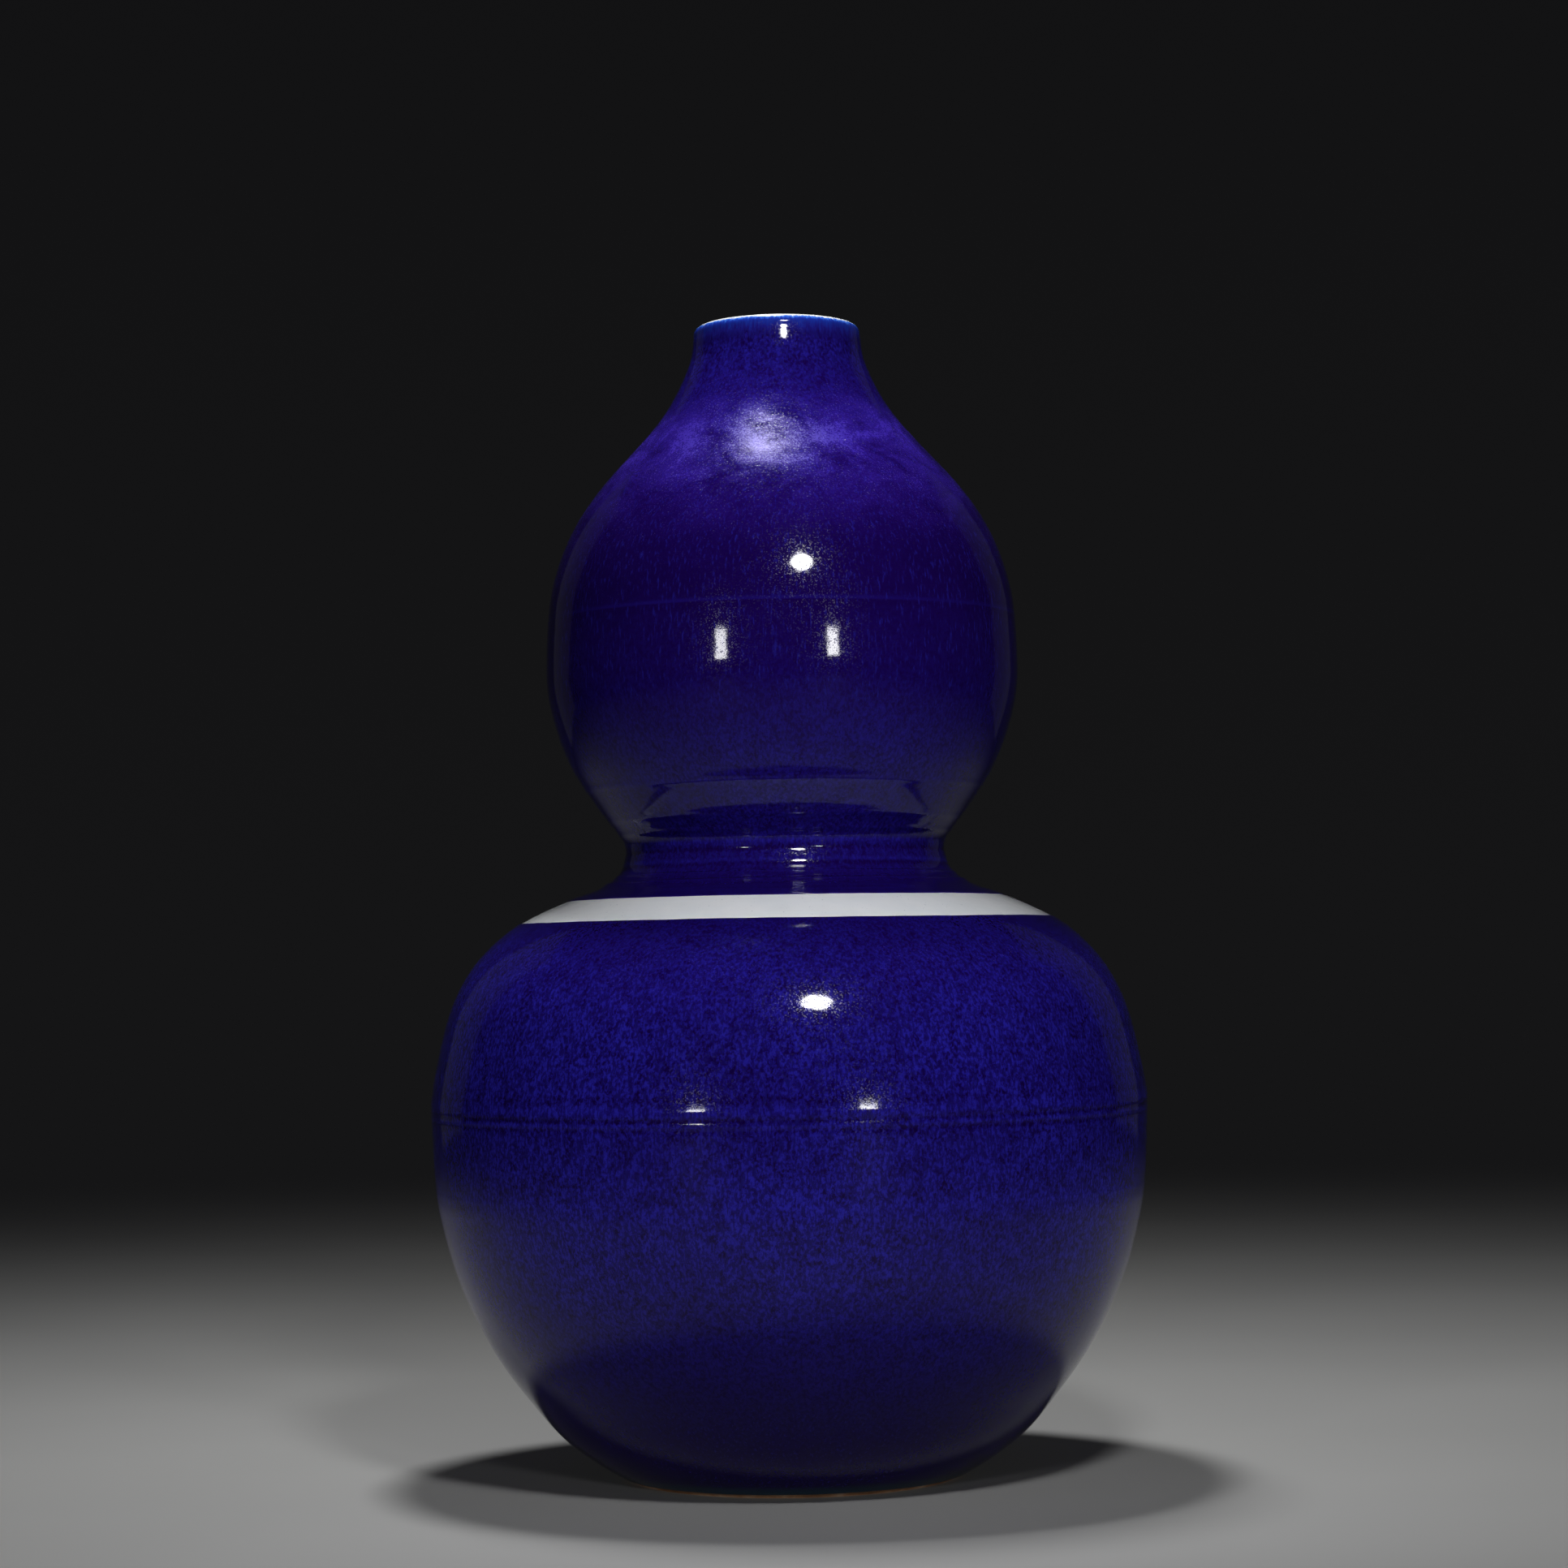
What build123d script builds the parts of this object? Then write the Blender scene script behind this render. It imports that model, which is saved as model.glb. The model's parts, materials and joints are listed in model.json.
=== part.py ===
from build123d import *
import cmath
import math
import os

# Double gourd vase of thrown porcelain: eight turned sections luted with slip, under coats of glaze.
# The origin is the centre of the foot on the surface where it stands, and +Z runs up the axis of turning.
# Millimetres.

# Outside of the glazed vase
height = 500.0
mouth_radius = 36.5
bulb_radius = 102.9
bulb_height = 348.7
waist_radius = 69.5
waist_height = 269.2
belly_radius = 155.1
belly_height = 161.4
foot_radius = 72.0

# Slopes of the outline in degrees, from level and outward, at the foot and at every upright place
foot_angle = 26.0
upright_angle = 90.0

# Ridges round the wall, at the widest place of the belly and at the crease under it: the slopes below and
# above each, and how far the crease lies below and within the widest place
belly_low_angle = 88.2
belly_high_angle = 96.8
crease_low_angle = 79.3
crease_high_angle = 83.5
crease_drop = 42.4
crease_inset = 2.5

# Places between those above: the share of the way up, the share of the way out or in, and the slope there
foot_to_crease_shares = [(0.655, 0.8485)]
foot_to_crease_angles = [66.0]
belly_to_waist_shares = [(0.530, 0.204), (0.841, 0.805)]
belly_to_waist_angles = [124.5, 163.0]
waist_to_bulb_shares = [(0.166, 0.198)]
waist_to_bulb_angles = [51.0]
bulb_to_lip_shares = [(0.339, 0.104), (0.600, 0.486), (0.821, 0.875)]
bulb_to_lip_angles = [111.0, 133.5, 118.0]

# Thrown wall, the coat of glaze over it, and the throat inside the lip
wall = 7.0
glaze = 0.6
throat_length = 10.0
throat_ease = 8.0

# Luted seams where the sections meet: two lie on the ridges, one lies at the waist, and two lie at shares
# of the way from the bulb up to the mouth
neck_seam_share = 0.663
bulb_seam_share = 0.1375

# Luted joint: a slanted seat on both edges, with slip between that stands a little proud inside, and the
# radius to which a ridge on the outside has shrunk at the proud slip
slip = 1.5
seat_slant = 3.0
slip_fin = 1.2
ridge_core = 5.2

# Base disc and turned foot ring
floor_height = 18.0
base_thickness = 9.0
foot_land = 7.0
foot_chamfer = 0.6
foot_taper = 2.5

# Edges of the coats of glaze
bare_foot_height = 1.6
band_drop = 29.7
band_width = 23.0
lip_glaze_depth = 9.0
lip_glaze_angle = 45.0

# Fineness of the search for a height, and the turn below which two ways count as parallel
halvings = 60
parallel_turn = 1e-9


def way_of(slope):
    """The way along the outline at a slope in degrees."""
    return cmath.rect(1, math.radians(slope))


def bend(start, way, end):
    """The arc that leaves start along way and reaches end: its start, way, curvature and length."""
    chord = end - start
    half_turn = cmath.phase(chord / way)
    curvature = 2 * math.sin(half_turn) / abs(chord)
    if abs(half_turn) < parallel_turn:
        return start, way, 0.0, abs(chord)
    return start, way, curvature, 2 * half_turn / curvature


def joined_arcs(start, way, end, end_way):
    """Two arcs that run smoothly into each other from one place to another, along the way at each."""
    chord = end - start
    along_chord = (chord.conjugate() * (way + end_way)).real
    spread = 2 * (1 - (way.conjugate() * end_way).real)
    if spread < parallel_turn:
        reach = abs(chord) ** 2 / (2 * along_chord)
    else:
        reach = (math.sqrt(along_chord ** 2 + spread * abs(chord) ** 2) - along_chord) / spread
    middle = (start + end + reach * (way - end_way)) / 2
    first = bend(start, way, middle)
    middle_way = way * cmath.exp(1j * first[2] * first[3])
    return [first, bend(middle, middle_way, end)]


def ridge(place, low_angle, high_angle):
    """The two ends of a ridge round the wall, from a place up its arc, each with its slope."""
    centre = place + 1j * way_of(low_angle) * ridge_radius
    return [(place, low_angle), (centre - 1j * way_of(high_angle) * ridge_radius, high_angle)]


def between(low, high, shares, angles):
    """The places at shares of the way between two others, each with its slope."""
    rise = high.imag - low.imag
    reach = high.real - low.real
    places = [low + complex(reach * out, rise * up) for up, out in shares]
    return list(zip(places, angles))


# The outside of the glazed vase from the foot up to the lip. A place is radius + height * 1j, so that
# a way is a turn of 1, 1j points up, and 1j * way points into the wall.
inside = glaze + wall
lip_radius = inside / 2
ridge_radius = inside + slip_fin + ridge_core
foot = complex(foot_radius, 0)
belly = complex(belly_radius, belly_height)
crease = complex(belly_radius - crease_inset, belly_height - crease_drop)
waist = complex(waist_radius, waist_height)
bulb = complex(bulb_radius, bulb_height)
lip = complex(mouth_radius, height - lip_radius)
crease_ridge = ridge(crease, crease_low_angle, crease_high_angle)
belly_ridge = ridge(belly, belly_low_angle, belly_high_angle)
outline = ([(foot, foot_angle)]
           + between(foot, crease, foot_to_crease_shares, foot_to_crease_angles)
           + crease_ridge + belly_ridge
           + between(belly_ridge[-1][0], waist, belly_to_waist_shares, belly_to_waist_angles)
           + [(waist, upright_angle)]
           + between(waist, bulb, waist_to_bulb_shares, waist_to_bulb_angles)
           + [(bulb, upright_angle)]
           + between(bulb, lip, bulb_to_lip_shares, bulb_to_lip_angles)
           + [(lip, upright_angle)])
meridian = []
for (place, slope), (next_place, next_slope) in zip(outline, outline[1:]):
    meridian += joined_arcs(place, way_of(slope), next_place, way_of(next_slope))
lip_distance = sum(arc[3] for arc in meridian)


def place_on(arc, run, depth):
    """The place that lies a run along an arc and a depth into the wall."""
    start, way, curvature, _ = arc
    turned_way = way * cmath.exp(1j * curvature * run)
    step = way * run if curvature == 0 else (turned_way - way) / (1j * curvature)
    return start + step + 1j * turned_way * depth


def place_at(distance, depth):
    """The place at a distance up the meridian from the foot, a depth into the wall."""
    for arc in meridian[:-1]:
        if distance <= arc[3]:
            return place_on(arc, distance, depth)
        distance -= arc[3]
    return place_on(meridian[-1], distance, depth)


def distance_at(level, depth):
    """How far up the meridian the surface at a depth into the wall reaches a height."""
    low = 0.0
    high = lip_distance
    for _ in range(halvings):
        middle = (low + high) / 2
        if place_at(middle, depth).imag < level:
            low = middle
        else:
            high = middle
    return (low + high) / 2


def point(place):
    """A place of the outline as a point in the plane that is turned about the axis."""
    return (place.real, 0, place.imag)


def straight(*places):
    """Straight edges through places of the outline."""
    return [Line(point(start), point(end)) for start, end in zip(places, places[1:])]


def follow(low, high, depth):
    """The meridian between two distances, a depth into the wall, as arcs."""
    edges = []
    passed = 0.0
    for arc in meridian:
        start = max(low - passed, 0.0)
        end = min(high - passed, arc[3])
        if arc is meridian[-1]:
            end = high - passed
        if start < end:
            stops = [place_on(arc, run, depth) for run in (start, (start + end) / 2, end)]
            edges.append(ThreePointArc(*[point(stop) for stop in stops]))
        passed += arc[3]
    return edges


def round_over(centre, radius, last_slope):
    """The arc over the lip from its outer side to a slope past the crest on its inner side."""
    slopes = (0, last_slope / 2, last_slope)
    return ThreePointArc(*[point(centre + radius * way_of(slope)) for slope in slopes])


def turned(edges):
    """The solid that an outline makes when it is turned about the axis."""
    return revolve(make_face(Wire(edges)), Axis.Z)


def coat(low, high):
    """A coat of glaze on the outside between two distances up the meridian."""
    return turned(follow(low, high, 0)
                  + straight(place_at(high, 0), place_at(high, glaze))
                  + follow(low, high, glaze)
                  + straight(place_at(low, glaze), place_at(low, 0)))


def middle_height(ends):
    """The height halfway between the two ends of a ridge."""
    return (ends[0][0].imag + ends[1][0].imag) / 2


# The seams meet the outside at these heights
neck_seam_height = bulb_height + neck_seam_share * (height - bulb_height)
bulb_seam_height = bulb_height + bulb_seam_share * (height - bulb_height)
belly_seam_height = middle_height(belly_ridge)
crease_seam_height = middle_height(crease_ridge)


def seat(seam_height, side):
    """Where a slanted seat meets the outer and inner face of the wall, above (1) or below (-1) a seam."""
    middle = distance_at(seam_height, 0) + side * slip / 2
    return middle + seat_slant / 2, middle - seat_slant / 2


def seat_edge(distances):
    """The slanted edge of a section, across the wall."""
    return straight(place_at(distances[0], glaze), place_at(distances[1], inside))


def wall_section(lower_seam_height, upper_seam_height):
    """A thrown section of the wall between two slanted seats."""
    low = seat(lower_seam_height, 1)
    high = seat(upper_seam_height, -1)
    return turned(follow(low[0], high[0], glaze) + seat_edge(high)
                  + follow(low[1], high[1], inside) + seat_edge(low))


def slanted_slip(seam_height):
    """The slip between two slanted seats, with the fin that squeezes out inside."""
    low = seat(seam_height, -1)
    high = seat(seam_height, 1)
    fin_low = place_at(low[1], inside + slip_fin)
    fin_high = place_at(high[1], inside + slip_fin)
    return turned(follow(low[0], high[0], glaze)
                  + straight(place_at(high[0], glaze), place_at(high[1], inside),
                             fin_high, fin_low,
                             place_at(low[1], inside), place_at(low[0], glaze)))


def neck_section():
    """The neck, with its rounded lip and a straight throat inside."""
    low = seat(neck_seam_height, 1)
    centre = complex(mouth_radius - glaze - wall / 2, lip.imag)
    throat_top = centre - wall / 2
    throat_bottom = throat_top - 1j * throat_length
    eased = distance_at(throat_bottom.imag - throat_ease, inside)
    return turned(follow(low[0], lip_distance, glaze)
                  + [round_over(centre, wall / 2, 2 * upright_angle)]
                  + straight(throat_top, throat_bottom, place_at(eased, inside))
                  + follow(low[1], eased, inside) + seat_edge(low))


def lip_glaze():
    """The glaze that drained thin over the lip: it thins to nothing towards the inside."""
    low = lip_distance - lip_glaze_depth
    last_slope = upright_angle + lip_glaze_angle
    outer_centre = lip - lip_radius
    inner_centre = lip - glaze - wall / 2
    ends = (inner_centre + wall / 2 * way_of(last_slope), outer_centre + lip_radius * way_of(last_slope))
    return turned(follow(low, lip_distance, 0) + [round_over(outer_centre, lip_radius, last_slope)]
                  + straight(*ends) + [round_over(inner_centre, wall / 2, last_slope)]
                  + follow(low, lip_distance, glaze)
                  + straight(place_at(low, glaze), place_at(low, 0)))


# The base disc lies on the foot ring and under the lower wall, on level seats
base_bottom = floor_height - base_thickness
wall_bottom = floor_height + slip
foot_top = base_bottom - slip
land_outer = place_at(0, glaze).real - foot_chamfer
land_inner = land_outer - foot_land
recess_radius = land_inner - foot_taper


def level_ring(low_height, high_height, inner_low, inner_high):
    """A ring with level faces: its outer face follows the wall, its inner edges lie at two places."""
    low = distance_at(low_height, glaze)
    high = distance_at(high_height, glaze)
    return turned(follow(low, high, glaze)
                  + straight(place_at(high, glaze), inner_high, inner_low, place_at(low, glaze)))


def lower_wall_section():
    """The lowest wall, from its slanted seat under the crease down to the base disc."""
    high = seat(crease_seam_height, -1)
    outer_low = distance_at(wall_bottom, glaze)
    inner_low = distance_at(wall_bottom, inside)
    return turned(follow(outer_low, high[0], glaze) + seat_edge(high)
                  + follow(inner_low, high[1], inside)
                  + straight(place_at(inner_low, inside), place_at(outer_low, glaze)))


def base_slip():
    """The slip between the lower wall and the base disc, with its fin inside."""
    inner_radius = place_at(distance_at(wall_bottom, inside), inside).real - slip_fin
    return level_ring(floor_height, wall_bottom,
                      complex(inner_radius, floor_height), complex(inner_radius, wall_bottom))


def base_disc():
    """The floor of the vase."""
    return level_ring(base_bottom, floor_height, complex(0, base_bottom), complex(0, floor_height))


def foot_slip():
    """The slip between the base disc and the foot ring."""
    return level_ring(foot_top, base_bottom,
                      complex(recess_radius, foot_top), complex(recess_radius, base_bottom))


def foot_ring():
    """The turned foot, with a flat land, a chamfer outside and a tapered recess inside."""
    top = distance_at(foot_top, glaze)
    return turned(follow(0, top, glaze)
                  + straight(place_at(top, glaze), complex(recess_radius, foot_top),
                             complex(land_inner, 0), complex(land_outer, 0), place_at(0, glaze)))


# The coats of glaze meet edge to edge at the band and under the lip
glaze_line = distance_at(bare_foot_height, 0)
band_low = distance_at(waist_height - band_drop, 0)
band_high = band_low + band_width

pieces = {
    "neck_section": neck_section(),
    "upper_bulb_cap": wall_section(bulb_seam_height, neck_seam_height),
    "upper_bulb_cup": wall_section(waist_height, bulb_seam_height),
    "shoulder_section": wall_section(belly_seam_height, waist_height),
    "belly_section": wall_section(crease_seam_height, belly_seam_height),
    "lower_wall_section": lower_wall_section(),
    "base_disc": base_disc(),
    "foot_ring": foot_ring(),
    "neck_slip": slanted_slip(neck_seam_height),
    "upper_bulb_slip": slanted_slip(bulb_seam_height),
    "waist_slip": slanted_slip(waist_height),
    "belly_slip": slanted_slip(belly_seam_height),
    "crease_slip": slanted_slip(crease_seam_height),
    "base_slip": base_slip(),
    "foot_slip": foot_slip(),
    "lip_glaze": lip_glaze(),
    "upper_glaze": coat(band_high, lip_distance - lip_glaze_depth),
    "band_glaze": coat(band_low, band_high),
    "lower_glaze": coat(glaze_line, band_low),
}

os.makedirs("parts", exist_ok=True)
for name, piece in pieces.items():
    export_step(piece, "parts/" + name + ".step")
    print(name, round(piece.volume), "cubic millimetres")
print("throat radius", round(lip.real - inside, 2), "down from height", round(lip.imag, 2))
print("foot land from radius", round(land_inner, 2), "to", round(land_outer, 2))
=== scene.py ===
import bpy
import cmath
import json
import math
import numpy as np
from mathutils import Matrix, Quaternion, Vector


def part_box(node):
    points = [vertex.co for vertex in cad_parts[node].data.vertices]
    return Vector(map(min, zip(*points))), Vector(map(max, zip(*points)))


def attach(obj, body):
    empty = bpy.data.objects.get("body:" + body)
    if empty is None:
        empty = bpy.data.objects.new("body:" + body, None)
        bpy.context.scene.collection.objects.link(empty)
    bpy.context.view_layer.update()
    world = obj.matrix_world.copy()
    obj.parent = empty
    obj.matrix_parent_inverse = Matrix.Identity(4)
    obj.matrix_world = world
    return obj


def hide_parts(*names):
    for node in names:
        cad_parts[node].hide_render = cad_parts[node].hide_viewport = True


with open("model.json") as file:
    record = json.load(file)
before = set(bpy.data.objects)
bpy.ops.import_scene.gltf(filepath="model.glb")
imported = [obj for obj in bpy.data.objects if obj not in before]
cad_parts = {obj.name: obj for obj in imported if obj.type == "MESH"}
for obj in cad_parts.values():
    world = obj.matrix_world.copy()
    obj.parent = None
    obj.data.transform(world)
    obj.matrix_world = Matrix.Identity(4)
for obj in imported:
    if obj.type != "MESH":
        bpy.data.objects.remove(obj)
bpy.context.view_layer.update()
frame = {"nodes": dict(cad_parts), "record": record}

# Double gourd vase in metres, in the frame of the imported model: the foot stands on z = 0 about the z axis.
# Outside of the glazed vase
height = 0.5
mouth_radius = 0.0365
bulb_radius = 0.1029
bulb_height = 0.3487
waist_radius = 0.0695
waist_height = 0.2692
belly_radius = 0.1551
belly_height = 0.1614
foot_radius = 0.072

# Slopes of the outline in degrees, from level and outward, at the foot and at every upright place
foot_angle = 26.0
upright_angle = 90.0

# Ridges at the belly and the crease: slopes below and above each, where the crease lies, and their radius
belly_low_angle = 88.2
belly_high_angle = 96.8
crease_low_angle = 79.3
crease_high_angle = 83.5
crease_drop = 0.0424
crease_inset = 0.0025
ridge_radius = 0.014

# Places between those above: the share of the way up, the share of the way out or in, and the slope there
foot_to_crease_shares = [(0.655, 0.8485)]
foot_to_crease_angles = [66.0]
belly_to_waist_shares = [(0.530, 0.204), (0.841, 0.805)]
belly_to_waist_angles = [124.5, 163.0]
waist_to_bulb_shares = [(0.166, 0.198)]
waist_to_bulb_angles = [51.0]
bulb_to_lip_shares = [(0.339, 0.104), (0.600, 0.486), (0.821, 0.875)]
bulb_to_lip_angles = [111.0, 133.5, 118.0]

# Wall, glaze and throat
wall = 0.007
glaze = 0.0006
throat_length = 0.010
throat_ease = 0.008
lip_glaze_angle = 45.0

# Edges of the coats of glaze, how far the white band lies below the blue, and the rounding of the blue edges
bare_foot_height = 0.0016
lip_glaze_depth = 0.009
lip_fade = 0.003
band_width = 0.023
band_sunk = 0.00028
bead = 0.0006
bead_swell = 0.00012
bead_swell_reach = 0.0018

# Fineness of the turned meshes, with the half widths of a mark over which the steps are close
segments = 256
lip_arc_count = 24
fine_step = 0.0003
middle_step = 0.0009
coarse_step = 0.0022
fine_reach = 2.2
slow_reach = 2.0
bead_shares = [0.0, 0.04, 0.12, 0.25, 0.42, 0.62, 0.8, 1.0]
halvings = 50
parallel_turn = 1e-9
sharp_angle = 50.0

# Marks of luting, throwing and trimming: height, half width, rise, and how much lighter the glaze is there
fine_marks = [
    (0.1668, 0.0014, 0.00000, -0.45),
    (0.1624, 0.0018, 0.00000, 0.60),
    (0.1588, 0.0011, -0.00008, -0.90),
    (0.1569, 0.0009, 0.00005, 0.55),
    (0.1548, 0.0011, -0.00004, -0.65),
    (0.1242, 0.0012, 0.00002, 0.40),
    (0.4915, 0.0045, 0.00024, 0.00),
    (0.3706, 0.0010, 0.00000, 0.40),
    (0.3693, 0.0007, 0.00000, -0.35),
    (0.2966, 0.0015, 0.00010, 0.20),
    (0.2830, 0.0014, 0.00009, 0.10),
    (0.2770, 0.0012, 0.00010, 0.10),
    (0.2724, 0.0011, 0.00000, 0.55),
    (0.2713, 0.0012, 0.00013, 0.00),
    (0.2690, 0.0009, -0.00012, -0.60),
    (0.2655, 0.0011, 0.00007, 0.00),
    (0.2643, 0.0010, 0.00000, 0.60),
    (0.2628, 0.0009, -0.00004, -0.50),
    (0.2592, 0.0008, 0.00034, 0.10),
    (0.2561, 0.0009, 0.00040, 0.10),
]

# Broad marks of throwing and trimming: height, half width and rise
slow_marks = [
    (0.0180, 0.0090, 0.00025),
    (0.0340, 0.0100, -0.00038),
    (0.0550, 0.0090, 0.00012),
    (0.1920, 0.0210, -0.00032),
    (0.2300, 0.0110, -0.00025),
    (0.2665, 0.0035, 0.00036),
    (0.2727, 0.0035, -0.00034),
    (0.2900, 0.0060, -0.00018),
    (0.3060, 0.0080, 0.00025),
    (0.3250, 0.0080, -0.00020),
    (0.3430, 0.0050, 0.00008),
    (0.3930, 0.0100, -0.00012),
    (0.4320, 0.0120, -0.00010),
]

# Unevenness of the light and dark rings round the vase
tone_waves = 3
tone_swing = 0.35

# Slow unevenness of the thrown wall: waves up the wall, waves round it, start of the wave, and rise
wall_waves = [
    (7.0, 2, 0.6, 0.00005),
    (13.0, 3, 2.1, 0.00003),
    (23.0, 1, 4.0, 0.000015),
]

# Wander of the hand-cut edges of the glaze: waves round the edge, start of the wave, and rise
edge_waves = [
    (2, 0.4, 0.00022),
    (5, 2.0, 0.00012),
    (11, 1.1, 0.00008),
    (23, 0.3, 0.00006),
    (41, 2.7, 0.00005),
]
edge_reach = 0.004


def way_of(slope):
    """The way along the outline at a slope in degrees, as a turn of 1."""
    return cmath.rect(1, math.radians(slope))


def bend(start, way, end):
    """The arc that leaves start along way and reaches end: its start, way, curvature and length."""
    chord = end - start
    half_turn = cmath.phase(chord / way)
    curvature = 2 * math.sin(half_turn) / abs(chord)
    if abs(half_turn) < parallel_turn:
        return start, way, 0.0, abs(chord)
    return start, way, curvature, 2 * half_turn / curvature


def joined_arcs(start, way, end, end_way):
    """Two arcs that run smoothly into each other from one place to another, along the way at each."""
    chord = end - start
    along_chord = (chord.conjugate() * (way + end_way)).real
    spread = 2 * (1 - (way.conjugate() * end_way).real)
    if spread < parallel_turn:
        reach = abs(chord) ** 2 / (2 * along_chord)
    else:
        reach = (math.sqrt(along_chord ** 2 + spread * abs(chord) ** 2) - along_chord) / spread
    middle = (start + end + reach * (way - end_way)) / 2
    first = bend(start, way, middle)
    middle_way = way * cmath.exp(1j * first[2] * first[3])
    return [first, bend(middle, middle_way, end)]


def ridge(place, low_angle, high_angle):
    """The two ends of a ridge round the wall, from a place up its arc, each with its slope."""
    centre = place + 1j * way_of(low_angle) * ridge_radius
    return [(place, low_angle), (centre - 1j * way_of(high_angle) * ridge_radius, high_angle)]


def between(low, high, shares, angles):
    """The places at shares of the way between two others, each with its slope."""
    rise = high.imag - low.imag
    reach = high.real - low.real
    places = [low + complex(reach * out, rise * up) for up, out in shares]
    return list(zip(places, angles))


# The outside from the foot up to the lip, as places of radius + height * 1j
lip_radius = (wall + glaze) / 2
foot = complex(foot_radius, 0)
belly = complex(belly_radius, belly_height)
crease = complex(belly_radius - crease_inset, belly_height - crease_drop)
waist = complex(waist_radius, waist_height)
bulb = complex(bulb_radius, bulb_height)
lip = complex(mouth_radius, height - lip_radius)
crease_ridge = ridge(crease, crease_low_angle, crease_high_angle)
belly_ridge = ridge(belly, belly_low_angle, belly_high_angle)
outline = ([(foot, foot_angle)]
           + between(foot, crease, foot_to_crease_shares, foot_to_crease_angles)
           + crease_ridge + belly_ridge
           + between(belly_ridge[-1][0], waist, belly_to_waist_shares, belly_to_waist_angles)
           + [(waist, upright_angle)]
           + between(waist, bulb, waist_to_bulb_shares, waist_to_bulb_angles)
           + [(bulb, upright_angle)]
           + between(bulb, lip, bulb_to_lip_shares, bulb_to_lip_angles)
           + [(lip, upright_angle)])
meridian = []
for (place, slope), (next_place, next_slope) in zip(outline, outline[1:]):
    meridian += joined_arcs(place, way_of(slope), next_place, way_of(next_slope))
lip_distance = sum(arc[3] for arc in meridian)


def place_and_way(distance):
    """The place at a distance up the meridian from the foot, and the way along it there."""
    for arc in meridian[:-1]:
        if distance <= arc[3]:
            break
        distance -= arc[3]
    else:
        arc = meridian[-1]
    start, way, curvature, _ = arc
    turned_way = way * cmath.exp(1j * curvature * distance)
    step = way * distance if curvature == 0 else (turned_way - way) / (1j * curvature)
    return start + step, turned_way


def distance_at(level, depth=0.0):
    """How far up the meridian the surface at a depth into the wall reaches a height."""
    low = 0.0
    high = lip_distance
    for _ in range(halvings):
        middle = (low + high) / 2
        place, way = place_and_way(middle)
        if (place + 1j * way * depth).imag < level:
            low = middle
        else:
            high = middle
    return (low + high) / 2


fine_places = [(distance_at(level), width, rise) for level, width, rise, _ in fine_marks]
tones = [tone for _, _, _, tone in fine_marks]
slow_places = [(distance_at(level), width, rise) for level, width, rise in slow_marks]
round_angles = np.arange(segments) * 2 * math.pi / segments
glaze_line = distance_at(bare_foot_height)
band_low = distance_at(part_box("lower_glaze")[1].z)
band_high = band_low + band_width
drained_low = lip_distance - lip_glaze_depth
coat_edges = [glaze_line, band_low, band_high]


def edge_wander(number):
    """How far one edge of the glaze wanders up or down the wall, round the vase."""
    return sum(rise * np.sin(waves * round_angles + start * (number + 1))
               for waves, start, rise in edge_waves)


def rise_at(distance):
    """The rise of the outside over its smooth outline, round the vase."""
    rise = np.zeros(segments)
    for middle, width, mark_rise in fine_places + slow_places:
        rise += mark_rise * math.exp(-((distance - middle) / width) ** 2)
    for up, round_waves, start, wave_rise in wall_waves:
        phase = 2 * math.pi * up * distance / lip_distance
        rise += wave_rise * (np.sin(phase + round_waves * round_angles + start) - 1)
    return rise


def tone_at(distance):
    """How light the glaze is over the marks, round the vase."""
    tone = np.zeros(segments)
    for number, (mark_tone, (middle, width, _)) in enumerate(zip(tones, fine_places)):
        unevenness = 1 + tone_swing * np.sin(tone_waves * round_angles + number)
        tone += mark_tone * unevenness * math.exp(-((distance - middle) / width) ** 2)
    return tone


def bead_rise(from_edge):
    """The rise of blue glaze near its edge: it swells a little, then rounds down."""
    swell = bead_swell * math.exp(-(from_edge / bead_swell_reach) ** 2)
    inward = max(0.0, 1 - from_edge / bead)
    return swell - (band_sunk + bead_swell) * (1 - math.sqrt(1 - inward ** 2))


def outside_row(distance, depth, rise):
    """A row of places round the vase at a distance up the outside, a depth into the wall less a rise."""
    place, way = place_and_way(distance)
    shift = np.zeros(segments)
    for number, edge in enumerate(coat_edges):
        shift += edge_wander(number) * math.exp(-((distance - edge) / edge_reach) ** 2)
    return place + way * shift + 1j * way * (depth - rise)


def steps(low, high, beads=()):
    """Distances from low to high, close together near marks and at beaded edges."""
    distances = [low]
    while distances[-1] < high:
        here = distances[-1]
        step = coarse_step
        if any(abs(here - middle) < slow_reach * width for middle, width, _ in slow_places):
            step = middle_step
        if any(abs(here - middle) < fine_reach * width for middle, width, _ in fine_places):
            step = fine_step
        distances.append(here + step)
    distances = [distance for distance in distances if distance < high - bead] + [high]
    for edge in beads:
        inward = 1 if edge == low else -1
        distances += [edge + inward * bead * share for share in bead_shares]
    return sorted(set(distances))


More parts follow.
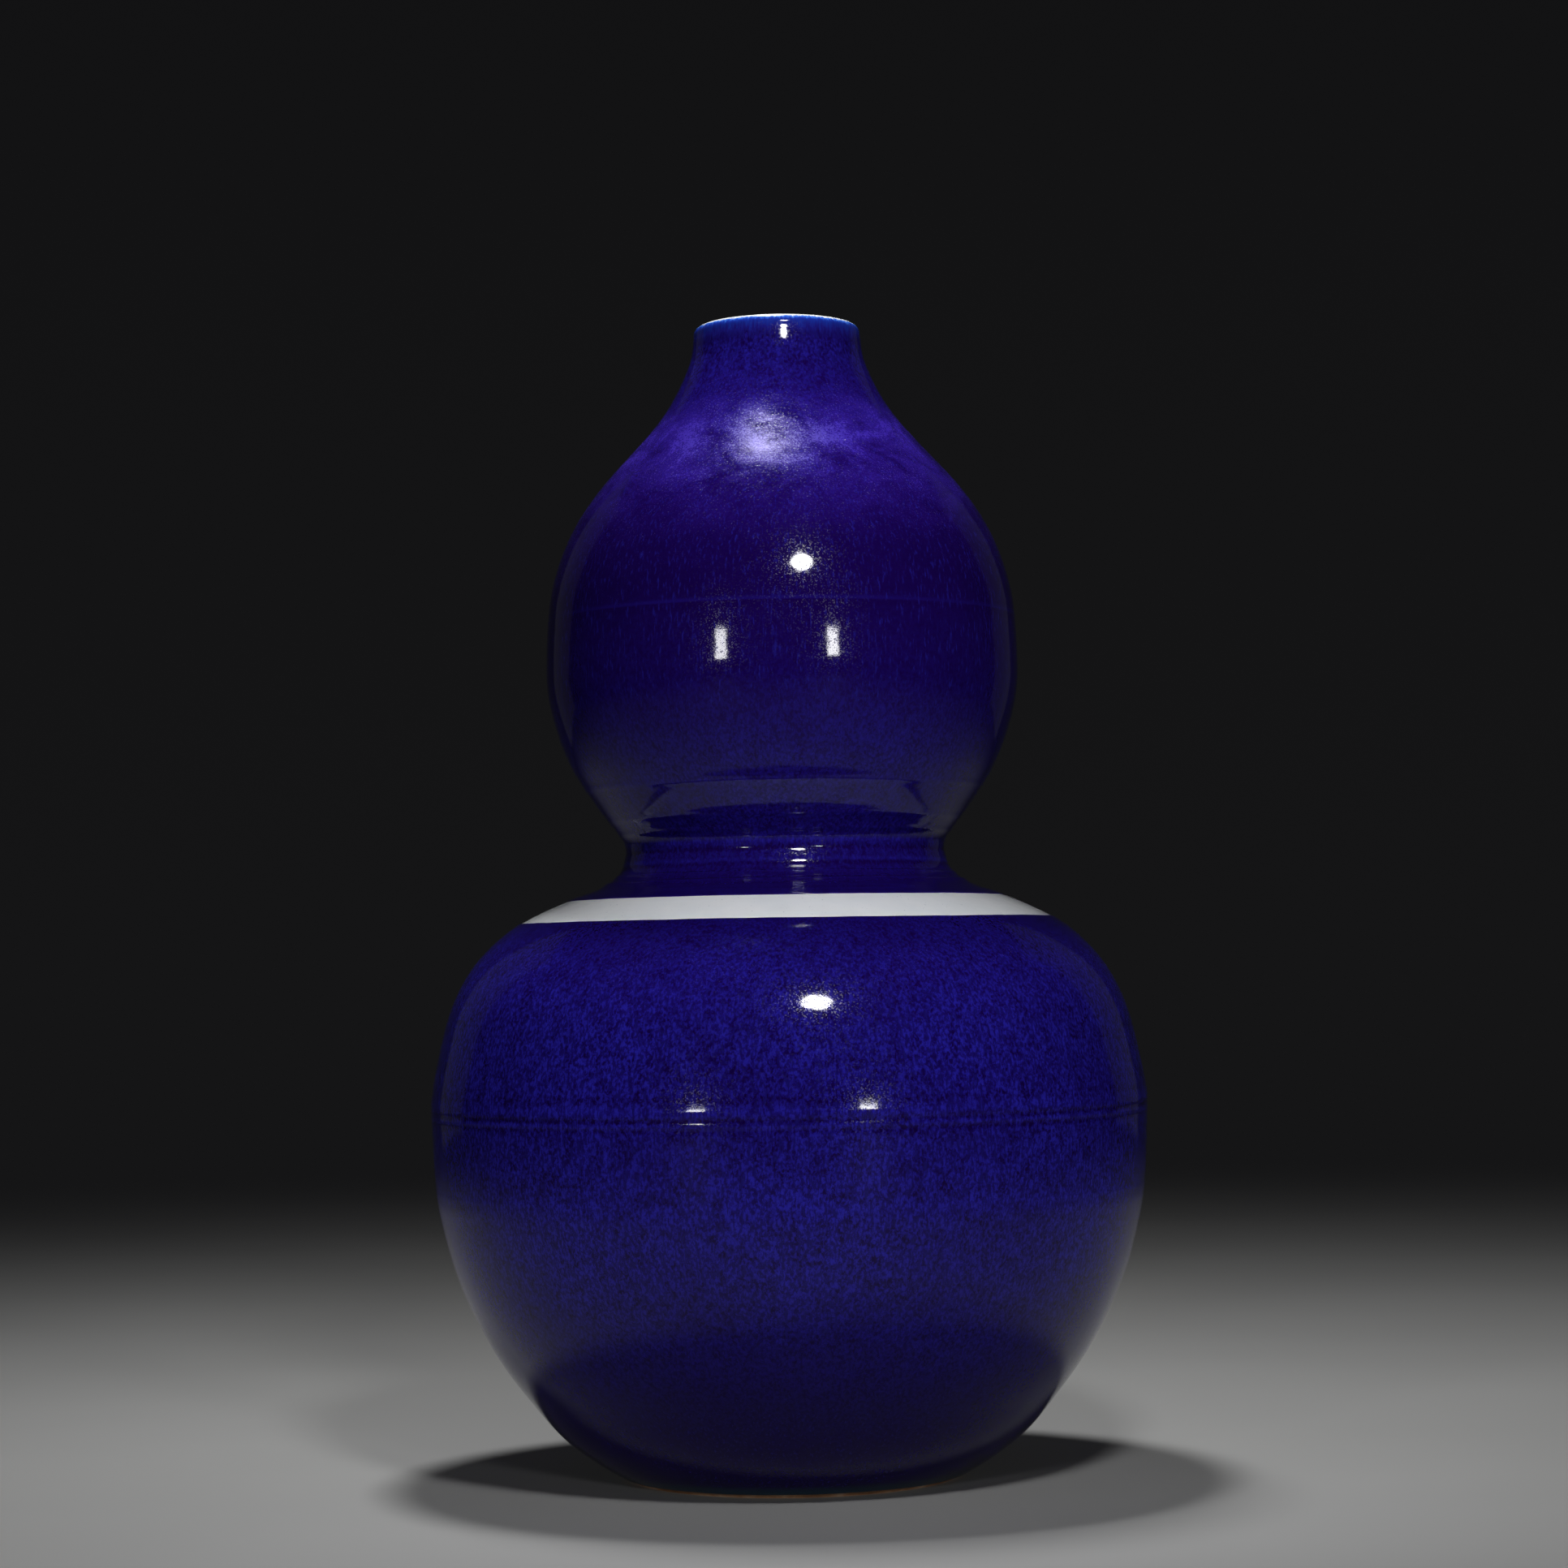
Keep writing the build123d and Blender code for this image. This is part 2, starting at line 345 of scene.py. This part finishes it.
def turned(name, rows, attributes=None):
    """A closed ring-shaped piece: rows of places round the axis, of which the last joins the first."""
    places = np.array(rows)
    count = len(rows)
    x = places.real * np.cos(round_angles)
    y = places.real * np.sin(round_angles)
    points = np.stack([x, y, places.imag], 2).reshape(-1, 3)
    row, column = np.meshgrid(np.arange(count), np.arange(segments), indexing="ij")
    next_row = (row + 1) % count
    next_column = (column + 1) % segments
    corners = [row * segments + column, row * segments + next_column,
               next_row * segments + next_column, next_row * segments + column]
    faces = np.stack(corners, 2).reshape(-1, 4)
    mesh = bpy.data.meshes.new(name)
    mesh.from_pydata(points.tolist(), [], faces.tolist())
    for label, values in (attributes or {}).items():
        layer = mesh.attributes.new(label, "FLOAT", "POINT")
        layer.data.foreach_set("value", np.array(values, np.float32).ravel())
    mesh.polygons.foreach_set("use_smooth", [True] * len(mesh.polygons))
    mesh.set_sharp_from_angle(angle=math.radians(sharp_angle))
    mesh.update()
    piece = bpy.data.objects.new(name, mesh)
    bpy.context.scene.collection.objects.link(piece)
    return piece


def same_round(place):
    """A row whose place is the same all round."""
    return np.full(segments, place)


def coat(name, low, high, beads, sunk=0.0):
    """A coat of glaze between two distances, with its relief outside and a plain inner face."""
    rows = []
    row_tones = []
    for distance in steps(low, high, beads):
        edge_rise = sum(bead_rise(abs(distance - edge)) for edge in beads) - sunk
        rows.append(outside_row(distance, 0.0, rise_at(distance) + edge_rise))
        row_tones.append(tone_at(distance))
    inner = np.linspace(high, low, max(2, round((high - low) / coarse_step)))
    for distance in inner:
        rows.append(outside_row(distance, glaze, 0.0))
        row_tones.append(np.zeros(segments))
    return turned(name, rows, {"tone": row_tones})


def arc_rows(centre, radius, first, last, count):
    """Rows along an arc of the lip between two slopes."""
    angles = np.linspace(first, last, count)
    return [same_round(centre + radius * way_of(angle)) for angle in angles]


def lip_coat(name):
    """The glaze that drained thin over the lip."""
    last_angle = upright_angle + lip_glaze_angle
    outer_centre = lip - lip_radius
    inner_centre = lip - glaze - wall / 2
    rows = []
    for distance in steps(drained_low, lip_distance):
        place, _ = place_and_way(distance)
        fade = min(1.0, (lip_distance - distance) / lip_fade)
        rows.append(place + (outside_row(distance, 0.0, rise_at(distance)) - place) * fade)
    rows += arc_rows(outer_centre, lip_radius, 0, last_angle, lip_arc_count)[1:]
    rows += arc_rows(inner_centre, wall / 2, last_angle, 0, lip_arc_count)
    for distance in reversed(steps(drained_low, lip_distance)[:-1]):
        rows.append(outside_row(distance, glaze, 0.0))
    return turned(name, rows, {"tone": np.zeros((len(rows), segments))})


def neck(name):
    """The thrown neck with its rounded lip and straight throat, smooth for the eye."""
    inside = glaze + wall
    low = distance_at(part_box("neck_section")[0].z, inside)
    outer_low = distance_at(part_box("neck_slip")[1].z, glaze)
    centre = complex(mouth_radius - glaze - wall / 2, lip.imag)
    throat_top = centre - wall / 2
    throat_bottom = throat_top - 1j * throat_length
    eased = distance_at(throat_bottom.imag - throat_ease, inside)
    rows = []
    for distance in steps(outer_low, lip_distance)[:-1]:
        place, way = place_and_way(distance)
        rows.append(same_round(place + 1j * way * glaze))
    rows += arc_rows(centre, wall / 2, 0, 2 * upright_angle, 2 * lip_arc_count)
    rows += [same_round(throat_bottom)]
    for distance in reversed(steps(low, eased)):
        place, way = place_and_way(distance)
        rows.append(same_round(place + 1j * way * inside))
    return turned(name, rows)


# Pieces that stand for the coats of glaze and the neck
lower_coat = coat("lower_glaze_coat", glaze_line, band_low, [glaze_line, band_low])
band_coat = coat("band_glaze_coat", band_low, band_high, [], band_sunk)
upper_coat = coat("upper_glaze_coat", band_high, drained_low, [band_high])
replacements = [
    (lower_coat, "lower_glaze", "powder_blue_lower"),
    (band_coat, "band_glaze", "white_glaze"),
    (upper_coat, "upper_glaze", "powder_blue_upper"),
    (lip_coat("lip_glaze_coat"), "lip_glaze", "drained_glaze"),
    (neck("thrown_neck"), "neck_section", "clear_glazed_porcelain"),
]
for piece, node, slot in replacements:
    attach(piece, "root")
    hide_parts(node)


class Shader:
    """A node material with a Principled surface, built by small steps."""

    def __init__(self, name):
        self.material = bpy.data.materials.new(name)
        self.material.use_nodes = True
        self.nodes = self.material.node_tree.nodes
        self.links = self.material.node_tree.links
        self.surface = self.nodes["Principled BSDF"]
        self.place = self.nodes.new("ShaderNodeTexCoord").outputs["Object"]

    def put(self, socket, value):
        """Links a socket to another one, or sets it."""
        if isinstance(value, bpy.types.NodeSocket):
            self.links.new(value, socket)
        else:
            socket.default_value = value

    def math(self, operation, first, second=0.0, third=0.0, clamp=False):
        """One sum on up to three values."""
        node = self.nodes.new("ShaderNodeMath")
        node.operation = operation
        node.use_clamp = clamp
        for socket, value in zip(node.inputs, (first, second, third)):
            self.put(socket, value)
        return node.outputs[0]

    def stretched(self, scale):
        """The place on the object, times a scale along x, y and z."""
        node = self.nodes.new("ShaderNodeMapping")
        self.put(node.inputs["Vector"], self.place)
        node.inputs["Scale"].default_value = scale
        return node.outputs["Vector"]

    def noise(self, scale, detail, roughness, stretch=(1, 1, 1), distortion=0.0):
        """Noise over the place on the object, from 0 to 1."""
        node = self.nodes.new("ShaderNodeTexNoise")
        self.put(node.inputs["Vector"], self.stretched(stretch))
        node.inputs["Scale"].default_value = scale
        node.inputs["Detail"].default_value = detail
        node.inputs["Roughness"].default_value = roughness
        node.inputs["Distortion"].default_value = distortion
        return node.outputs["Fac"]

    def separated(self, label):
        """One coordinate of the place on the object."""
        node = self.nodes.new("ShaderNodeSeparateXYZ")
        self.put(node.inputs[0], self.place)
        return node.outputs[label]

    def attribute(self, name):
        """A value that the mesh carries at each of its points."""
        node = self.nodes.new("ShaderNodeAttribute")
        node.attribute_name = name
        return node.outputs["Fac"]

    def ramp(self, value, stops, smooth=False):
        """A colour or grey ramp through (position, colour or grey) stops."""
        node = self.nodes.new("ShaderNodeValToRGB")
        self.put(node.inputs["Fac"], value)
        if smooth:
            node.color_ramp.interpolation = "B_SPLINE"
        elements = node.color_ramp.elements
        while len(elements) < len(stops):
            elements.new(1.0)
        for element, (position, colour) in zip(elements, stops):
            element.position = position
            element.color = (colour, colour, colour, 1) if isinstance(colour, float) else (*colour, 1)
        return node.outputs["Color"]

    def mix(self, share, first, second):
        """A colour that goes from the first to the second as the share goes from 0 to 1."""
        node = self.nodes.new("ShaderNodeMix")
        node.data_type = "RGBA"
        self.put(node.inputs["Factor"], share)
        self.put(node.inputs["A"], first if isinstance(first, bpy.types.NodeSocket) else (*first, 1))
        self.put(node.inputs["B"], second if isinstance(second, bpy.types.NodeSocket) else (*second, 1))
        return node.outputs["Result"]

    def span(self, value, low, high, out_low=0.0, out_high=1.0):
        """A value between two ends, turned into one between two others and kept within them."""
        node = self.nodes.new("ShaderNodeMapRange")
        self.put(node.inputs["Value"], value)
        node.inputs["From Min"].default_value = low
        node.inputs["From Max"].default_value = high
        node.inputs["To Min"].default_value = out_low
        node.inputs["To Max"].default_value = out_high
        return node.outputs["Result"]

    def bump(self, value, depth, under=None):
        """Fine relief of a depth, on top of another where there is one."""
        node = self.nodes.new("ShaderNodeBump")
        node.inputs["Distance"].default_value = depth
        self.put(node.inputs["Height"], value)
        if under is not None:
            self.put(node.inputs["Normal"], under)
        return node.outputs["Normal"]

    def finish(self, colour, roughness, normal=None):
        """The material, with its colour, roughness and fine relief set."""
        self.put(self.surface.inputs["Base Color"], colour)
        self.put(self.surface.inputs["Roughness"], roughness)
        if normal is not None:
            self.put(self.surface.inputs["Normal"], normal)
        return self.material


# Colours of the blue glazes and of the dust on them, as linear reflectances; the lighter violet of the dust
# also paints a highlight on the neck's shoulder
deep_cobalt = (0.0060, 0.0004, 0.047)
light_cobalt = (0.0190, 0.0150, 0.350)
lip_cobalt = (0.0110, 0.009, 0.18)
thin_cobalt = (0.0100, 0.0300, 0.330)
drained_blue = (0.0400, 0.1600, 0.7000)
drained_white = (0.8000, 0.8200, 0.8200)
thin_teal = (0.0100, 0.0380, 0.0700)
dust_and_highlight_violet = (0.0750, 0.0300, 0.7000)
dust_and_glint_white = (0.5500, 0.5200, 0.7500)

# Colours of the white glaze, of the body under clear glaze, and of the bare foot
dull_white = (0.85, 0.88, 0.92)
bright_white = (0.89, 0.91, 0.94)
blue_grey_speck = (0.30, 0.34, 0.45)
body_white = (0.78, 0.78, 0.74)
slip_white = (0.74, 0.73, 0.69)
body_shade = 0.88
iron_speck = (0.32, 0.24, 0.17)
burnt_brown = (0.20, 0.085, 0.035)
burnt_orange = (0.38, 0.20, 0.10)
pale_clay = (0.60, 0.46, 0.33)

# Tint of the shine on clean glaze and on the dust, where the painted highlight on the neck's shoulder also
# lies
clean_shine = (1.0, 1.0, 1.0)
hazy_shine = (0.3600, 0.3000, 1.0000)

# How light and mottled the blue is, by share of the height: partly the glaze's own mottle, partly painted
# light and shade, with painted shade darkening it towards the foot
mottle_and_shade_by_height = [
    (0.00, 0.02), (0.05, 0.05), (0.12, 0.34), (0.20, 0.82), (0.26, 0.84), (0.305, 0.80), (0.325, 0.82),
    (0.38, 0.90), (0.44, 0.66), (0.475, 0.32), (0.51, 0.10), (0.54, 0.42), (0.60, 0.42), (0.68, 0.12),
    (0.76, 0.00), (0.88, 0.03), (0.93, 0.28), (0.97, 0.60),
]

# How much dust lies on the glaze, by share of the height, with most of it where a painted highlight lightens
# the neck's shoulder
dust_and_highlight_by_height = [
    (0.00, 0.0), (0.38, 0.0), (0.44, 0.10), (0.47, 0.0), (0.79, 0.0), (0.84, 0.34), (0.87, 0.85),
    (0.895, 1.0), (0.915, 0.60), (0.93, 0.0),
]

# Heights between which the glaze drains to white at the lip and thins to teal at the foot
drain_start = 0.4885
drain_end = 0.5000
teal_start = 0.0062
teal_end = 0.0030

# Colours of the drained glaze, by how far it has drained
drained_stops = [
    (0.0, deep_cobalt),
    (0.50, lip_cobalt),
    (0.80, thin_cobalt),
    (0.89, drained_blue),
    (0.94, drained_white),
]

# Colours of the bare foot, by the noise of its patches
burnt_stops = [
    (0.30, burnt_brown),
    (0.50, burnt_orange),
    (0.72, pale_clay),
]

# Noises: cells to a metre, detail, roughness, then the share of those cells along x, y and z, and distortion
drop_noise = (740.0, 4.0, 0.66, (1, 1, 0.72), 0.3)
clump_noise = (210.0, 2.0, 0.5, (1, 1, 0.8))
cloud_noise = (14.0, 2.0, 0.5)
streak_noise = (900.0, 3.0, 0.6, (1, 1, 0.22))
smear_noise = (42.0, 5.0, 0.68, (1, 1, 1.4), 0.6)
dust_and_highlight_grain_noise = (1100.0, 2.0, 0.6)
fluff_and_glint_noise = (1500.0, 2.0, 0.7)
peel_noise = (170.0, 1.0, 0.4)
pit_noise = (1300.0, 2.0, 0.6)
sheen_noise = (1500.0, 2.0, 0.55)
white_patch_noise = (60.0, 3.0, 0.6)
white_speck_noise = (900.0, 2.0, 0.6)
clear_patch_noise = (45.0, 3.0, 0.6)
clear_speck_noise = (700.0, 2.0, 0.5)
burnt_patch_noise = (70.0, 4.0, 0.65)
burnt_grain_noise = (1500.0, 2.0, 0.6)
floor_noise = (3.0, 2.0, 0.5)

# Spans: the low and high end of what is read, then of what it becomes, if that isn't 0 to 1
drop_span = (0.43, 0.58)
clump_span = (0.34, 0.66)
cloud_span = (0.3, 0.7, 0.75, 1.20)
tone_span = (-1.0, 1.0, -0.34, 0.34)
streak_span = (0.3, 0.7, -0.34, 0.34)
lip_span = (0.0, 0.25)
smear_span = (0.36, 0.62, 0.16, 1.0)
dust_and_highlight_grain_span = (0.40, 0.62)
speckle_span = (0.0, 1.0, 0.55, 1.0)
fluff_and_glint_span = (0.70, 0.74)
sheen_span = (0.56, 0.64, 0.045, 0.26)
tint_span = (0.0, 0.4)
white_patch_span = (0.35, 0.65)
white_speck_span = (0.70, 0.76)
white_roughness_span = (0.2, 0.8, 0.05, 0.09)
clear_patch_span = (0.3, 0.7)
clear_speck_span = (0.72, 0.78)
clear_roughness_span = (0.2, 0.8, 0.08, 0.16)
burnt_roughness_span = (0.2, 0.8, 0.55, 0.8)
floor_span = (0.3, 0.7)

# Shares of clumps and drops in the mottle
clump_share = 0.36
drop_share = 0.78

# What dust adds to the colour (partly a painted highlight), the roughness and the shine, and the shine of
# clean blue glaze
dust_and_highlight_colour_share = 0.48
dust_roughness = 0.42
dust_specular = 0.34
blue_specular = 0.25

# Depths of the finest relief
blue_peel_depth = 0.00003
pit_depth = 0.000008
clear_peel_depth = 0.00005
burnt_grain_depth = 0.00004


def powder_blue(name):
    """Cobalt blown on in fine drops under clear glaze, drained white at the lip and thin at the foot."""
    shader = Shader(name)
    up = shader.separated("Z")
    level = shader.math("DIVIDE", up, height)
    drops = shader.span(shader.noise(*drop_noise), *drop_span)
    clumps = shader.span(shader.noise(*clump_noise), *clump_span)
    clouds = shader.span(shader.noise(*cloud_noise), *cloud_span)
    # Lightness by height, which also paints light and shade on the blue, darker towards the foot
    amount = shader.math("MULTIPLY", shader.ramp(level, mottle_and_shade_by_height), clouds)
    mottle = shader.math("MULTIPLY_ADD", clumps, clump_share, shader.math("MULTIPLY", drops, drop_share))
    tone = shader.span(shader.attribute("tone"), *tone_span)
    share = shader.math("MULTIPLY_ADD", mottle, amount, shader.math("MULTIPLY", tone, clouds), clamp=True)
    blue = shader.mix(share, deep_cobalt, light_cobalt)
    streaks = shader.noise(*streak_noise)
    drained = shader.span(up, drain_start, drain_end)
    undrained = shader.math("SUBTRACT", 1.0, drained)
    wander = shader.math("MULTIPLY", shader.span(streaks, *streak_span), undrained)
    drained = shader.math("ADD", drained, wander)
    lip_blue = shader.ramp(drained, drained_stops)
    with_lip = shader.mix(shader.span(drained, *lip_span), blue, lip_blue)
    colour = shader.mix(shader.span(up, teal_start, teal_end), with_lip, thin_teal)
    # Dust smeared on the neck's shoulder: its lighter violet is partly dust and partly a painted highlight
    # of the lamp there
    smear = shader.span(shader.noise(*smear_noise), *smear_span)
    grains = shader.span(shader.noise(*dust_and_highlight_grain_noise), *dust_and_highlight_grain_span)
    dust_and_highlight = shader.math("MULTIPLY", shader.ramp(level, dust_and_highlight_by_height, smooth=True), smear)
    speckled = shader.math("MULTIPLY", dust_and_highlight, shader.span(grains, *speckle_span))
    colour = shader.mix(shader.math("MULTIPLY", speckled, dust_and_highlight_colour_share), colour, dust_and_highlight_violet)
    # White specks in the dust on the neck's shoulder: partly dust grains and partly painted glints of the
    # highlight there
    fluff_and_glints = shader.span(shader.noise(*fluff_and_glint_noise), *fluff_and_glint_span)
    colour = shader.mix(shader.math("MULTIPLY", fluff_and_glints, dust_and_highlight), colour, dust_and_glint_white)
    peel = shader.noise(*peel_noise)
    pits = shader.noise(*pit_noise)
    normal = shader.bump(pits, pit_depth, shader.bump(peel, blue_peel_depth))
    sheen = shader.span(shader.noise(*sheen_noise), *sheen_span)
    roughness = shader.math("MULTIPLY_ADD", speckled, dust_roughness, sheen)
    specular = shader.math("MULTIPLY_ADD", speckled, dust_specular, blue_specular)
    shader.put(shader.surface.inputs["Specular IOR Level"], specular)
    tinted = shader.span(speckled, *tint_span)
    shader.put(shader.surface.inputs["Specular Tint"], shader.mix(tinted, clean_shine, hazy_shine))
    return shader.finish(colour, roughness, normal)


def white_glaze(name):
    """White reserve under clear glaze, with a few blue-grey specks."""
    shader = Shader(name)
    patches = shader.noise(*white_patch_noise)
    specks = shader.noise(*white_speck_noise)
    base = shader.mix(shader.span(patches, *white_patch_span), dull_white, bright_white)
    colour = shader.mix(shader.span(specks, *white_speck_span), base, blue_grey_speck)
    peel = shader.noise(*peel_noise)
    roughness = shader.span(patches, *white_roughness_span)
    return shader.finish(colour, roughness, shader.bump(peel, clear_peel_depth))


def clear_glazed(name, tint):
    """White porcelain body under a clear glaze, with a few brown specks."""
    shader = Shader(name)
    patches = shader.noise(*clear_patch_noise)
    specks = shader.noise(*clear_speck_noise)
    darker = tuple(body_shade * value for value in tint)
    base = shader.mix(shader.span(patches, *clear_patch_span), darker, tint)
    colour = shader.mix(shader.span(specks, *clear_speck_span), base, iron_speck)
    peel = shader.noise(*peel_noise)
    roughness = shader.span(patches, *clear_roughness_span)
    return shader.finish(colour, roughness, shader.bump(peel, clear_peel_depth))


def burnt_biscuit(name):
    """Unglazed clay of the foot, burnt pale, orange and brown in patches."""
    shader = Shader(name)
    patches = shader.noise(*burnt_patch_noise)
    grain = shader.noise(*burnt_grain_noise)
    colour = shader.ramp(patches, burnt_stops)
    roughness = shader.span(grain, *burnt_roughness_span)
    return shader.finish(colour, roughness, shader.bump(grain, burnt_grain_depth))


finishes = {
    "clear_glazed_porcelain": clear_glazed("clear_glazed_porcelain", body_white),
    "luting_slip": clear_glazed("luting_slip", slip_white),
    "burnt_biscuit": burnt_biscuit("burnt_biscuit"),
    "drained_glaze": powder_blue("drained_glaze"),
    "powder_blue_upper": powder_blue("powder_blue_upper"),
    "powder_blue_lower": powder_blue("powder_blue_lower"),
    "white_glaze": white_glaze("white_glaze"),
}
for piece, _, slot in replacements:
    piece.data.materials.append(finishes[slot])
for subpart in frame["record"]["subparts"]:
    cad_object = frame["nodes"][subpart["node"]]
    cad_object.data.materials.clear()
    cad_object.data.materials.append(finishes[subpart["material_slot"]])

# Floor and world: the pale floor fades into the dark of the room between two distances from the vase
room_low = (0.0075, 0.0075, 0.0080, 1)
room_high = (0.0030, 0.0030, 0.0035, 1)
floor_dull = (0.40, 0.40, 0.395)
floor_bright = (0.43, 0.43, 0.425)
floor_roughness = 0.7
floor_half = 9.0
fade_start = 0.5
fade_end = 2.6
floor_mesh = bpy.data.meshes.new("floor")
floor_corners = [(-floor_half, -floor_half, 0), (floor_half, -floor_half, 0),
                 (floor_half, floor_half, 0), (-floor_half, floor_half, 0)]
floor_mesh.from_pydata(floor_corners, [], [(0, 1, 2, 3)])
floor = bpy.data.objects.new("floor", floor_mesh)
bpy.context.scene.collection.objects.link(floor)
floor_shader = Shader("pale_floor")
floor_patches = floor_shader.span(floor_shader.noise(*floor_noise), *floor_span)
floor_tone = floor_shader.mix(floor_patches, floor_dull, floor_bright)
floor_mesh.materials.append(floor_shader.finish(floor_tone, floor_roughness))
glow = floor_shader.nodes.new("ShaderNodeEmission")
glow.inputs["Color"].default_value = room_low
away = floor_shader.nodes.new("ShaderNodeVectorMath")
away.operation = "LENGTH"
floor_shader.put(away.inputs[0], floor_shader.place)
blend = floor_shader.nodes.new("ShaderNodeMixShader")
fade = floor_shader.nodes.new("ShaderNodeMapRange")
fade.interpolation_type = "SMOOTHSTEP"
fade.inputs["From Min"].default_value = fade_start
fade.inputs["From Max"].default_value = fade_end
floor_shader.put(fade.inputs["Value"], away.outputs["Value"])
floor_shader.put(blend.inputs[0], fade.outputs["Result"])
floor_shader.put(blend.inputs[1], floor_shader.surface.outputs[0])
floor_shader.put(blend.inputs[2], glow.outputs[0])
floor_shader.put(floor_shader.nodes["Material Output"].inputs["Surface"], blend.outputs[0])

world = bpy.data.worlds.new("studio")
bpy.context.scene.world = world
world.use_nodes = True
nodes = world.node_tree.nodes
links = world.node_tree.links
sky = nodes.new("ShaderNodeTexCoord")
split = nodes.new("ShaderNodeSeparateXYZ")
grade = nodes.new("ShaderNodeValToRGB")
grade.color_ramp.elements[0].color = room_low
grade.color_ramp.elements[1].color = room_high
links.new(sky.outputs["Generated"], split.inputs[0])
links.new(split.outputs["Z"], grade.inputs["Fac"])
links.new(grade.outputs["Color"], nodes["Background"].inputs["Color"])

# Spread in degrees of a lamp that shines to all sides in front of it
open_spread = 180.0


def softbox(name, shape, place, target, width, length, watts, spread=open_spread):
    """An area lamp turned towards a target, which doesn't show itself to the camera."""
    light = bpy.data.lights.new(name, "AREA")
    light.shape = shape
    light.size = width
    light.size_y = length
    light.energy = watts
    light.spread = math.radians(spread)
    lamp = bpy.data.objects.new(name, light)
    bpy.context.scene.collection.objects.link(lamp)
    lamp.location = place
    lamp.rotation_mode = "QUATERNION"
    lamp.rotation_quaternion = (Vector(target) - Vector(place)).to_track_quat("-Z", "Y")
    lamp.visible_camera = False


def around(turn, distance, level):
    """A place at an angle from the front, a distance from the axis and a height."""
    angle = math.radians(turn)
    return (distance * math.sin(angle), -distance * math.cos(angle), level)


# Lamps: places, turns from the front in degrees, sizes, powers in watts, and what they are turned towards
vase_middle = (0, 0, height / 2)
bulb_middle = (0, 0, bulb_height)
key_place = (0.124, -0.689, 0.754)
key_target = (0, 0, 0.30)
key_width = 0.125
key_watts = 0.76
key_spread = 80.0
left_turn = -28.8
left_watts = 22.0
right_turn = 24.0
right_watts = 27.0
front_distance = 4.5
front_height = 0.800
front_width = 0.40
front_length = 0.46
overhead_place = (-0.05, 0.12, 1.15)
overhead_width = 0.17
overhead_watts = 6.8
back_turn = 134.0
back_distance = 2.0
back_height = 0.75
back_width = 0.8
back_length = 1.9
back_watts = 0.14
left_front = around(left_turn, front_distance, front_height)
right_front = around(right_turn, front_distance, front_height)
back_left = around(-back_turn, back_distance, back_height)
back_right = around(back_turn, back_distance, back_height)
softbox("key", "DISK", key_place, key_target, key_width, key_width, key_watts, key_spread)
softbox("left_front", "RECTANGLE", left_front, bulb_middle, front_width, front_length, left_watts)
softbox("right_front", "RECTANGLE", right_front, bulb_middle, front_width, front_length, right_watts)
softbox("overhead", "DISK", overhead_place, vase_middle, overhead_width, overhead_width, overhead_watts)
softbox("back_left", "RECTANGLE", back_left, vase_middle, back_width, back_length, back_watts)
softbox("back_right", "RECTANGLE", back_right, vase_middle, back_width, back_length, back_watts)

# Camera, where the photograph's perspective puts it
photo_side = 1932
focal_pixels = 4500.0
camera_distance = 1.593
camera_height = 0.2185
camera_pitch = math.radians(2.892)
camera_roll = 0.01651
sensor = 36.0
camera_data = bpy.data.cameras.new("camera")
camera_data.sensor_width = sensor
camera_data.lens = focal_pixels / photo_side * sensor
camera = bpy.data.objects.new("camera", camera_data)
bpy.context.scene.collection.objects.link(camera)
camera.location = (0, -camera_distance, camera_height)
camera.rotation_mode = "QUATERNION"
tilt = Quaternion((1, 0, 0), math.pi / 2 + camera_pitch)
camera.rotation_quaternion = tilt @ Quaternion((0, 0, 1), -camera_roll)
bpy.context.scene.camera = camera
bpy.context.scene.view_settings.view_transform = "Standard"
